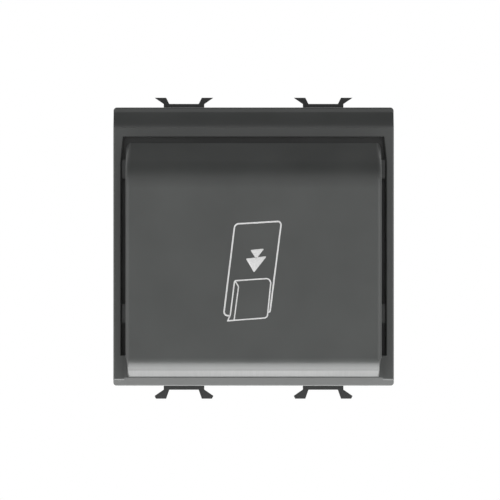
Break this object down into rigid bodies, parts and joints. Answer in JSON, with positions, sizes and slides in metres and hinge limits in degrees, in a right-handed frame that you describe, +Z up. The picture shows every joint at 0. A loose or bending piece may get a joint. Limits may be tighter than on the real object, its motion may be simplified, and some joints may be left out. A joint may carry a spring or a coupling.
{
  "type": "hotel key card switch",
  "caption": "Two-module wall switch held closed by a key card: hooded card pocket in a satin black front, change-over contact and clamp terminals behind.",
  "frame": {"origin": "centre of the rim's back face, the plane that rests on the wall support", "axes": "-Y out of the wall towards the user, +Y into the wall, +Z up, +X to the right as seen from the front"},
  "size_m": [0.045, 0.0477, 0.0486],
  "materials": {
    "satin_plastic": "moulded, satin black",
    "housing_plastic": "moulded, fine matt texture",
    "acetal": "moulded, smooth dark grey",
    "rocker_plastic": "moulded, natural white",
    "brass": "stamped",
    "contact_silver": "satin",
    "spring_steel": "drawn, bright",
    "pin_steel": "ground",
    "zinc_steel": "zinc plated"
  },
  "bodies": {
    "device": {"front_frame": "satin_plastic", "card_hood": "satin_plastic", "mechanism_housing": "housing_plastic", "terminal_block": "housing_plastic", "common_bracket": "brass", "contact_strip_nc": "brass", "contact_strip_no": "brass", "fixed_rivets": "contact_silver", "return_spring": "spring_steel", "grip_spring_left": "spring_steel", "grip_spring_right": "spring_steel", "rocker_pin": "pin_steel", "hood_screws": "zinc_steel"},
    "slider": {"card_pusher": "acetal", "slider_carriage": "acetal"},
    "rocker": {"contact_rocker": "rocker_plastic", "moving_contact": "brass", "moving_rivet": "contact_silver"},
    "claw_left": {"release_claw_left": "housing_plastic"},
    "claw_right": {"release_claw_right": "housing_plastic"},
    "screw_no": {"terminal_screw_no": "zinc_steel"},
    "cage_no": {"terminal_cage_no": "zinc_steel"},
    "screw_common": {"terminal_screw_common": "zinc_steel"},
    "cage_common": {"terminal_cage_common": "zinc_steel"},
    "screw_nc": {"terminal_screw_nc": "zinc_steel"},
    "cage_nc": {"terminal_cage_nc": "zinc_steel"}
  },
  "joints": [
    {"name": "card_slide", "type": "slide", "parent": "device", "child": "slider", "axis": [0, 0, -1], "range_m": [0, 0.004], "stiffness_N_per_m": 250, "springref_m": -0.006, "deforming": ["return_spring"]},
    {"name": "rocker_swing", "type": "hinge", "parent": "device", "child": "rocker", "pos_m": [0, 0.0095, -0.003], "axis": [1, 0, 0], "range_deg": [0, 25.06]},
    {"name": "claw_release_left", "type": "hinge", "parent": "device", "child": "claw_left", "pos_m": [-0.01125, 0.01616, -0.0201], "axis": [-1, 0, 0], "range_deg": [0, 15], "stiffness_Nm_per_rad": 0.3, "springref_deg": -5.73},
    {"name": "claw_release_right", "type": "hinge", "parent": "device", "child": "claw_right", "pos_m": [0.01125, 0.01616, -0.0201], "axis": [-1, 0, 0], "range_deg": [0, 15], "stiffness_Nm_per_rad": 0.3, "springref_deg": -5.73},
    {"name": "screw_turn_no", "type": "hinge", "parent": "device", "child": "screw_no", "pos_m": [0.0125, 0.0265, 0], "axis": [0, -1, 0], "range_deg": [0, 1296]},
    {"name": "cage_rise_no", "type": "slide", "parent": "device", "child": "cage_no", "axis": [0, 1, 0], "range_m": [0, 0.0018]},
    {"name": "screw_turn_common", "type": "hinge", "parent": "device", "child": "screw_common", "pos_m": [0, 0.0265, 0], "axis": [0, -1, 0], "range_deg": [0, 1296]},
    {"name": "cage_rise_common", "type": "slide", "parent": "device", "child": "cage_common", "axis": [0, 1, 0], "range_m": [0, 0.0018]},
    {"name": "screw_turn_nc", "type": "hinge", "parent": "device", "child": "screw_nc", "pos_m": [-0.0125, 0.0265, 0], "axis": [0, -1, 0], "range_deg": [0, 1296]},
    {"name": "cage_rise_nc", "type": "slide", "parent": "device", "child": "cage_nc", "axis": [0, 1, 0], "range_m": [0, 0.0018]}
  ],
  "couplings": [
    {"joint": "rocker_swing", "follows": "card_slide", "rad_per_m": 109.33},
    {"joint": "screw_turn_no", "follows": "cage_rise_no", "rad_per_m": 12566},
    {"joint": "screw_turn_common", "follows": "cage_rise_common", "rad_per_m": 12566},
    {"joint": "screw_turn_nc", "follows": "cage_rise_nc", "rad_per_m": 12566}
  ]
}
